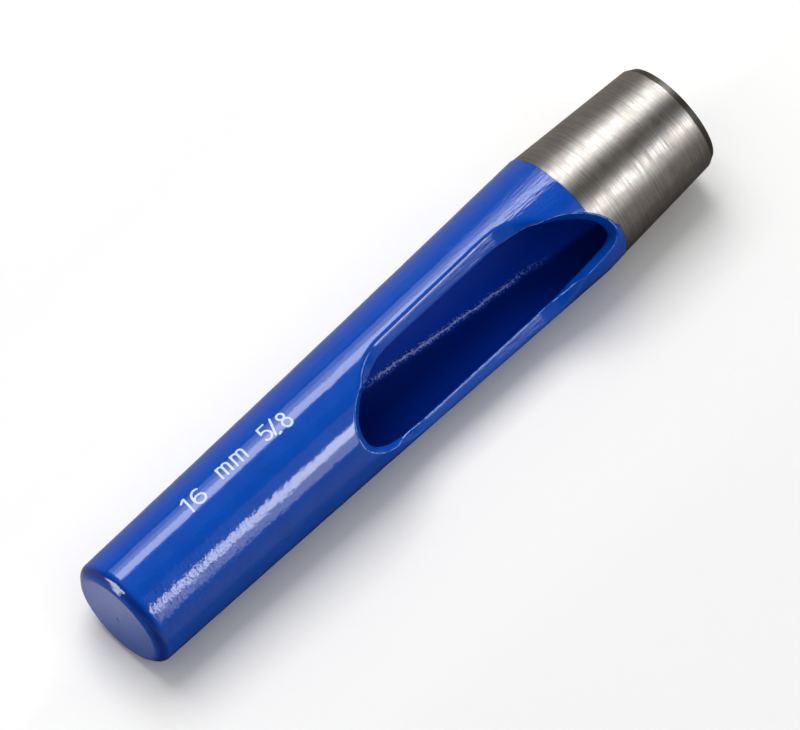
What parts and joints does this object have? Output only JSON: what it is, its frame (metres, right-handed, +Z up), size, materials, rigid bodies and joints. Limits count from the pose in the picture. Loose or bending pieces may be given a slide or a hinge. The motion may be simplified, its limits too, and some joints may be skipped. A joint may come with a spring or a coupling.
{
  "type": "hollow punch",
  "caption": "Round steel hollow punch: a flat striking face, a shank that widens to a ground conical head with a bevelled ring edge, and a bore that opens sideways through a window.",
  "frame": {"origin": "centre of the striking face, on the tool's axis", "axes": "+X along the tool's axis from the striking face to the cutting edge; +Z up, with the tool lying on its side as pictured; the window leans 48 degrees from +Z towards -Y"},
  "size_m": [0.106, 0.0198, 0.0198],
  "materials": {
    "ground_steel": "bright steel, ground round the head with fine lines, darker on the outside bevel",
    "blue_enamel": "glossy blue enamel over a forged surface, with slight ripples and a thick rim at the window"
  },
  "bodies": {
    "root": {"punch_body": "ground_steel", "enamel_coat": "blue_enamel"}
  },
  "joints": []
}
